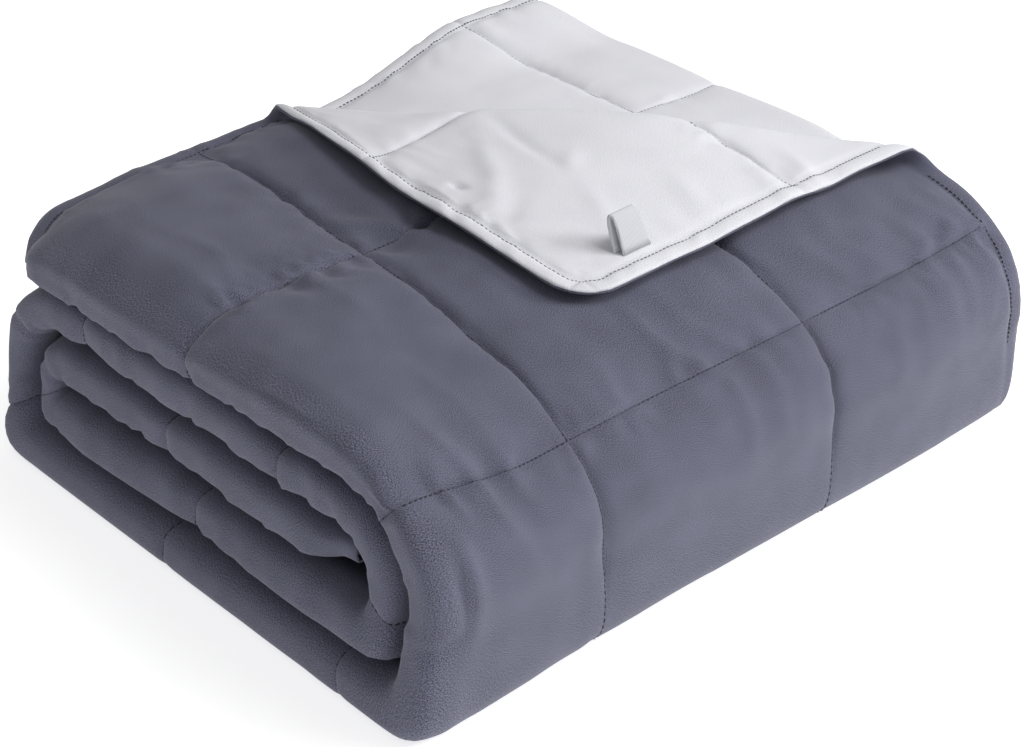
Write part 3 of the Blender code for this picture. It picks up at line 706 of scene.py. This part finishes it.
def add_panel(name, dark, spans_a, spans_b, surface):
    """One panel of the quilt as a closed skin: a fine outer face and a coarse inner one at the quilt's middle,
    joined round the hem. Both are grids of a and b, carried to their places by the folding."""
    lines_a, lines_b = fold_lines()
    coarse_a = divided(lines_a, COARSE_ACROSS)
    coarse_b = divided(lines_b, COARSE_ALONG)
    fine_a = divided(coarse_a, spans_a)
    fine_b = divided(coarse_b, spans_b)
    a, b = (grid.ravel() for grid in np.meshgrid(fine_a, fine_b, indexing="ij"))
    inner_a, inner_b = (grid.ravel() for grid in np.meshgrid(coarse_a, coarse_b, indexing="ij"))
    side = 1.0 if dark else -1.0
    outer = face_points(a, b, dark)
    low = INNER_LOW * within(past_turn(inner_a, inner_b), *INNER_LOW_PAST) * (inner_a < LEFT_FOLD)
    inner = place(inner_a, stopped(inner_b, dark), middle(inner_a, inner_b) + side * PANEL_GAP / 2 - low)
    faces = quads(len(fine_a), len(fine_b))
    back = quads(len(coarse_a), len(coarse_b))[:, (0, 3, 2, 1)] + len(outer)  # facing the other way
    at_a = np.searchsorted(fine_a, coarse_a - TINY)
    at_b = np.searchsorted(fine_b, coarse_b - TINY)
    outer_rim = ring_of(len(fine_a), len(fine_b), at_a, at_b)
    whole = (np.arange(len(coarse_a)), np.arange(len(coarse_b)))
    inner_rim = ring_of(len(coarse_a), len(coarse_b), *whole)
    walls = [far[::-1] + [near[0] + len(outer), near[-1] + len(outer)] for far, near in zip(outer_rim, inner_rim)]
    shell = faces.tolist() + back.tolist() + walls
    shell = shell if dark else [face[:1] + face[:0:-1] for face in shell]  # so that they point outwards too
    cloth = np.stack((np.append(a, inner_a), np.append(b, inner_b), np.zeros(len(a) + len(inner_a))), axis=1)
    return add_object(name, np.concatenate((outer, inner)), shell, cloth, surface)


def quads(count_a, count_b):
    """The faces of a grid of points, each from the corner that makes its diagonal lie along the turned-back fold."""
    index = np.arange(count_a * count_b).reshape(count_a, count_b)
    corners = (index[1:, :-1], index[1:, 1:], index[:-1, 1:], index[:-1, :-1])
    return np.stack([corner.ravel() for corner in corners], axis=1)


def add_stitches(name, dark, lines, surface):
    """Thread that shows between the holes of a sewn line: each stitch is a short rounded rod laid along it.
    Points run round STITCH_SIDES sides at both shoulders, with one more at each end."""
    starts, ways = [], []
    for first, last in lines:
        way = np.subtract(last, first)
        length = float(np.hypot(*way))
        steps = np.arange(STITCH_PITCH / 2, length, STITCH_PITCH)
        starts.append(np.array(first) + steps[:, None] * way / length)
        ways.append(np.repeat([way / length], len(steps), axis=0))
    at = np.concatenate(starts)
    way = np.concatenate(ways)
    past = past_turn(at[:, 0], at[:, 1])
    seen = (at[:, 0] >= LEFT_FOLD) | (past < 0 if dark else past > math.pi * TURN_RADIUS)
    at, way = at[seen], way[seen]
    angle = np.arange(STITCH_SIDES) * 2 * math.pi / STITCH_SIDES
    ring = np.stack((np.cos(angle), np.sin(angle)), axis=1) * THREAD / 2
    shoulder = STITCH_LENGTH / 2 - THREAD / 2
    forward = np.concatenate((np.full(STITCH_SIDES, -shoulder), np.full(STITCH_SIDES, shoulder)))
    forward = np.concatenate((forward, [-STITCH_LENGTH / 2, STITCH_LENGTH / 2]))
    aside = np.concatenate((ring[:, 0], ring[:, 0], [0.0, 0.0]))
    up = np.concatenate((ring[:, 1], ring[:, 1], [0.0, 0.0]))
    a = at[:, None, 0] + way[:, None, 0] * forward - way[:, None, 1] * aside
    b = at[:, None, 1] + way[:, None, 1] * forward + way[:, None, 0] * aside
    height = thickness(at[:, 0], at[:, 1], dark)[:, None] + up
    side = 1.0 if dark else -1.0
    w = middle(at[:, 0], at[:, 1])[:, None] + side * height
    points = place(a.ravel(), b.ravel(), w.ravel()).reshape(len(at), -1, 3)
    clear = points[:, :, 2].min(axis=1) > 0  # those pressed flat on the floor don't show
    at, a, b, points = at[clear], a[clear], b[clear], points[clear].reshape(-1, 3)
    k = np.arange(STITCH_SIDES)
    after = (k + 1) % STITCH_SIDES
    band = np.stack((k, after, after + STITCH_SIDES, k + STITCH_SIDES), axis=1)
    tail = np.stack((after, k, np.full_like(k, 2 * STITCH_SIDES)), axis=1)
    head = np.stack((k + STITCH_SIDES, after + STITCH_SIDES, np.full_like(k, 2 * STITCH_SIDES + 1)), axis=1)
    shift = (np.arange(len(at)) * len(forward))[:, None, None]
    faces = [face for part in (band, tail, head) for face in (part + shift).reshape(-1, part.shape[1]).tolist()]
    faces = faces if dark else [face[::-1] for face in faces]
    cloth = np.stack((a.ravel(), b.ravel(), np.zeros(a.size)), axis=1)
    return add_object(name, points, faces, cloth, surface)


def add_loop(surface):
    """The tape and its length: an arch, whose height is a power of a sine, with a thickness square to it, carried
    across the tape's width on the pale face of the corner."""
    round_points, across_points = LOOP_POINTS
    angle = np.linspace(0.0, math.pi, round_points)
    rise = np.sin(angle).clip(0.0) ** LOOP_SQUARENESS
    middle_in = LOOP_FROM_HEM + LOOP_OPEN / 2 * (1 - np.cos(angle)) + LOOP_LEAN * rise
    middle_up = LOOP_HEIGHT * rise
    along_in = np.gradient(middle_in)
    along_up = np.gradient(middle_up)
    half = TAPE_THICKNESS / 2 / np.hypot(along_in, along_up)
    ring_in = np.concatenate((middle_in - half * along_up, (middle_in + half * along_up)[::-1]))
    ring_up = np.concatenate((middle_up + half * along_in, (middle_up - half * along_in)[::-1]))
    across = LOOP_FROM_CORNER + TAPE_WIDTH * np.linspace(-0.5, 0.5, across_points)
    a = np.tile(ring_in, len(across))
    inward = np.clip((ring_in - LOOP_FROM_HEM) / (LOOP_OPEN + LOOP_LEAN), 0.0, 1.0)
    taken_in = 1 - LOOP_NARROWS * np.tile(ring_up.clip(0.0) / LOOP_HEIGHT, len(across))
    b = LOOP_FROM_CORNER + np.repeat(across - LOOP_FROM_CORNER, len(ring_in)) * taken_in
    b = b - LOOP_SKEW * np.tile(inward, len(across))
    seat = np.full_like(b, LOOP_FROM_HEM)
    base = thickness(seat, b, False)
    lift = base + np.tile(np.maximum(ring_up, PANEL_GAP), len(across))
    points = place(a, b, middle(seat, b) - lift)
    count = len(ring_in)
    here = np.arange(count)
    there = (here + 1) % count
    band = np.stack((here, there, there + count, here + count), axis=1)
    sides = [band + k * count for k in range(len(across) - 1)]
    k = np.arange(count // 2 - 1)
    cap = np.stack((k, count - 1 - k, count - 2 - k, k + 1), axis=1)
    sides += [cap, cap[:, ::-1] + (len(across) - 1) * count]
    faces = np.concatenate(sides)[:, ::-1].tolist()
    arc = np.cumsum(np.hypot(along_in, along_up))
    arc = np.concatenate((arc, arc[::-1]))
    cloth = np.stack((np.tile(arc, len(across)), b, np.zeros_like(b)), axis=1)
    made = add_object("tape_loop", points, faces, cloth, surface)
    length = float(np.hypot(np.diff(middle_in), np.diff(middle_up)).sum())
    return made, length


# ---- Materials ----

# The nap's fibres, about 0.02 mm thick, are too fine to show, so its grain is drawn as coarse as it needs to show.
GRAIN_MM = 0.27
NAP_SPREAD = 0.12  # how far the two grains together mostly stray from their mean, which is 1
PATCH_MM = 22.22  # the nap lies a little differently from place to place, over 2 to 3 cm
PATCH_SHARE = 0.2  # of the difference between deep and pale
TWIST_MM = 0.7  # of the thread's two plies
TWIST_PAINTED_SHADE = 0.6  # how dark the painted shade between them is
RIB_MM = 0.8  # from one rib of the tape to the next


def linear(code):
    """An sRGB hex colour as linear red, green, blue and alpha."""
    shares = np.array([int(code[k : k + 2], 16) for k in (1, 3, 5)]) / 255
    dim = shares / 12.92
    bright = ((shares + 0.055) / 1.055) ** 2.4
    return (*np.where(shares <= 0.04045, dim, bright).tolist(), 1.0)


def feed(tree, made, inputs):
    """Gives a node its inputs. Each is a value, or the socket of another node that feeds it."""
    for name, value in inputs.items():
        if isinstance(value, bpy.types.NodeSocket):
            tree.links.new(value, made.inputs[name])
        else:
            made.inputs[name].default_value = value


def node(tree, kind, inputs, **settings):
    """Adds a node with its settings and its inputs."""
    made = tree.nodes.new(kind)
    for name, value in settings.items():
        setattr(made, name, value)
    feed(tree, made, inputs)
    return made


def new_material(name):
    """A material with nodes, its node tree and its shader."""
    made = bpy.data.materials.new(name)
    made.use_nodes = True
    return made, made.node_tree, made.node_tree.nodes["Principled BSDF"]


def brushed_cloth(name, deep, pale, sheen):
    """Brushed polyester microfibre, woven plain and raised on a wire roller. The nap hides the weave and leaves
    a fine heathered grain along both thread directions, and scatters light at a glance like felt."""
    made, tree, shader = new_material(name)
    cloth = node(tree, "ShaderNodeAttribute", {}, attribute_name="cloth").outputs["Vector"]
    grain = 1000 / GRAIN_MM
    heights = []
    for stretch in ((grain, grain / 2, 1.0), (grain / 2, grain, 1.0)):
        turned = node(tree, "ShaderNodeMapping", {"Vector": cloth, "Scale": stretch})
        threads = node(tree, "ShaderNodeTexNoise", {"Vector": turned.outputs[0], "Scale": 1.0, "Detail": 2.0})
        heights.append(threads.outputs[0])
    nap = node(tree, "ShaderNodeMath", {0: heights[0], 1: heights[1]}, operation="ADD")
    spread = {"Value": nap.outputs[0], "From Min": 1 - NAP_SPREAD, "From Max": 1 + NAP_SPREAD}
    even = node(tree, "ShaderNodeMapRange", spread)
    patches = node(tree, "ShaderNodeTexNoise", {"Vector": cloth, "Scale": 1000 / PATCH_MM, "Detail": 1.0})
    shade = node(tree, "ShaderNodeMath", {0: patches.outputs[0], 1: PATCH_SHARE}, operation="MULTIPLY")
    both = {0: even.outputs[0], 1: 1 - PATCH_SHARE, 2: shade.outputs[0]}
    share = node(tree, "ShaderNodeMath", both, operation="MULTIPLY_ADD")
    colours = {0: share.outputs[0], 6: linear(deep), 7: linear(pale)}
    colour = node(tree, "ShaderNodeMix", colours, data_type="RGBA")
    bump = node(tree, "ShaderNodeBump", {"Height": nap.outputs[0], "Strength": 0.12, "Distance": 0.0001})
    felt = {"Roughness": 0.92, "Specular IOR Level": 0.25, "Sheen Weight": sheen, "Sheen Roughness": 0.45}
    feed(tree, shader, {"Base Color": colour.outputs[2], "Normal": bump.outputs[0], **felt})
    return made


def spun_thread(name, colour):
    """Spun polyester sewing thread, two plies twisted together, with painted shade between them and a slight gloss.
    """
    made, tree, shader = new_material(name)
    cloth = node(tree, "ShaderNodeAttribute", {}, attribute_name="cloth").outputs["Vector"]
    twist = node(tree, "ShaderNodeTexNoise", {"Vector": cloth, "Scale": 1000 / TWIST_MM, "Detail": 1.0})
    *bright, whole = linear(colour)
    # the dim colour is painted shade between the plies, laid where a noise says
    dim = (*(TWIST_PAINTED_SHADE * share for share in bright), whole)
    colours = {0: twist.outputs[0], 6: (*bright, whole), 7: dim}
    tone = node(tree, "ShaderNodeMix", colours, data_type="RGBA")
    feed(tree, shader, {"Base Color": tone.outputs[2], "Roughness": 0.6})
    return made


def woven_tape(name, deep, pale):
    """Polyester twill tape, woven narrow: fine ribs that run along it, with a faint sheen. A wave of scale 1
    repeats every 2 pi / 20."""
    made, tree, shader = new_material(name)
    cloth = node(tree, "ShaderNodeAttribute", {}, attribute_name="cloth").outputs["Vector"]
    ribs = node(
        tree,
        "ShaderNodeTexWave",
        {"Vector": cloth, "Scale": 2 * math.pi / 20 * 1000 / RIB_MM, "Distortion": 1.5, "Detail": 2.0},
        bands_direction="Y",
    )
    colours = {0: ribs.outputs[1], 6: linear(deep), 7: linear(pale)}
    tone = node(tree, "ShaderNodeMix", colours, data_type="RGBA")
    bump = node(tree, "ShaderNodeBump", {"Height": ribs.outputs[1], "Strength": 0.5, "Distance": 0.0002})
    woven = {"Roughness": 0.75, "Sheen Weight": 0.15}
    feed(tree, shader, {"Base Color": tone.outputs[2], "Normal": bump.outputs[0], **woven})
    return made


def plain_floor(name, colour):
    """Opal acrylic, cast as a sheet and lit from below, which hides most of the shadow under a product."""
    made, tree, shader = new_material(name)
    matte = {"Base Color": linear(colour), "Roughness": 0.9, "Specular IOR Level": 0.1}
    feed(tree, shader, {**matte, "Emission Color": linear(colour), "Emission Strength": FLOOR_GLOW})
    return made


def sewn_lines():
    """Where stitches show, as pairs of places on the flat cloth: on the dark face, the pale one and its hems."""
    edge = HEM_WIDTH - HEM_STITCH
    on_top = [line for line in LINES_ACROSS if line < LEFT_FOLD]
    on_second = [line for line in LINES_ACROSS if SECOND_PLY < line < RIGHT_FOLD]
    dark = [((line, HEM_WIDTH), (line, OUTER_WRAP)) for line in on_top]
    dark += [((HEM_WIDTH if line < OUTER_WRAP else LEFT_FOLD, line), (RAMP_START, line)) for line in LINES_ALONG]
    dark += [((edge, edge), (edge, OUTER_WRAP)), ((edge, edge), (LEFT_FOLD, edge))]
    first = LINES_ALONG[0]
    pale = [((SQUARE_ACROSS, HEM_WIDTH), (SQUARE_ACROSS, FLAP_LINES_END))]
    pale += [((HEM_WIDTH, first), (FLAP_LINES_END, first))]
    pale += [((line, HEM_WIDTH), (line, SECOND_LINES_END)) for line in on_second]
    pale += [((SECOND_PLY, first), (THIRD_PLY, first))]
    side_end, end_end = FLAP_HEMS_END
    hems = [((edge, edge), (edge, side_end)), ((edge, edge), (end_end, edge))]
    hems += [((SECOND_PLY, edge), (THIRD_PLY, edge))]
    return dark, pale, hems


def add_light(name, at, size, power):
    """A square soft box that faces the middle of the blanket."""
    lamp = bpy.data.lights.new(name, "AREA")
    lamp.size = size
    lamp.energy = power
    made = bpy.data.objects.new(name, lamp)
    made.location = at
    made.rotation_euler = (Vector(AIM) - Vector(at)).to_track_quat("-Z", "Y").to_euler()
    bpy.context.scene.collection.objects.link(made)


def add_camera():
    """The camera that took the photograph, as the fitting gives it."""
    lens = bpy.data.cameras.new("camera")
    lens.lens = CAMERA_LENS_MM
    lens.sensor_width = SENSOR_MM
    lens.clip_start = 0.01
    made = bpy.data.objects.new("camera", lens)
    made.location = CAMERA_FROM
    level = math.cos(CAMERA_PITCH)
    forward = (level * math.cos(CAMERA_YAW), level * math.sin(CAMERA_YAW), -math.sin(CAMERA_PITCH))
    made.rotation_euler = Vector(forward).to_track_quat("-Z", "Y").to_euler()
    bpy.context.scene.collection.objects.link(made)
    bpy.context.scene.camera = made


def add_studio():
    """A pale floor, a white room and the soft boxes."""
    corners = [(FLOOR_HALF * x, FLOOR_HALF * y, 0.0) for x, y in ((-1, -1), (1, -1), (1, 1), (-1, 1))]
    mesh = bpy.data.meshes.new("floor")
    mesh.from_pydata(corners, [], [(0, 1, 2, 3)])
    mesh.materials.append(plain_floor("opal acrylic", "#F4F4F4"))
    floor = bpy.data.objects.new("floor", mesh)
    bpy.context.scene.collection.objects.link(floor)
    world = bpy.data.worlds.new("white room")
    world.use_nodes = True
    light = world.node_tree.nodes["Background"]
    feed(world.node_tree, light, {"Color": linear("#FFFFFF"), "Strength": ROOM_LIGHT})
    bpy.context.scene.world = world
    bpy.context.scene.view_settings.view_transform = "Standard"
    for box in SOFT_BOXES:
        add_light(*box)


def main():
    """The finishes and the pieces, with the imported solids they replace hidden, and the studio."""
    dark_cloth = brushed_cloth("brushed slate microfibre", "#232329", "#7F8096", sheen=0.15)
    pale_cloth = brushed_cloth("brushed pale grey microfibre", "#C4C4CB", "#F4F4F8", sheen=0.1)
    dark_thread = spun_thread("slate polyester thread", "#2A2B34")
    pale_thread = spun_thread("pale grey polyester thread", "#A9AAB4")
    # The hem thread is drawn darker than the pale face's own thread: partly its own mid grey, partly painted shade
    # of the furrow along the hem.
    hem_thread_and_painted_shade = spun_thread("mid grey polyester thread with painted furrow shade", "#6F707E")
    tape = woven_tape("pale grey twill tape", "#B9BAC0", "#D2D3D8")
    face = add_panel("dark_face", True, DARK_ACROSS, DARK_ALONG, dark_cloth)
    back = add_panel("pale_back", False, PALE_ACROSS, PALE_ALONG, pale_cloth)
    loop, length = add_loop(tape)
    dark_lines, pale_lines, hem_lines = sewn_lines()
    dark_stitches = add_stitches("dark_stitches", True, dark_lines, dark_thread)
    pale_stitches = add_stitches("pale_stitches", False, pale_lines, pale_thread)
    hem_stitches = add_stitches("hem_stitches", False, hem_lines, hem_thread_and_painted_shade)
    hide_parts("face_panel")
    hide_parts("back_panel")
    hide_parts("corner_loop")
    add_studio()
    add_camera()


main()
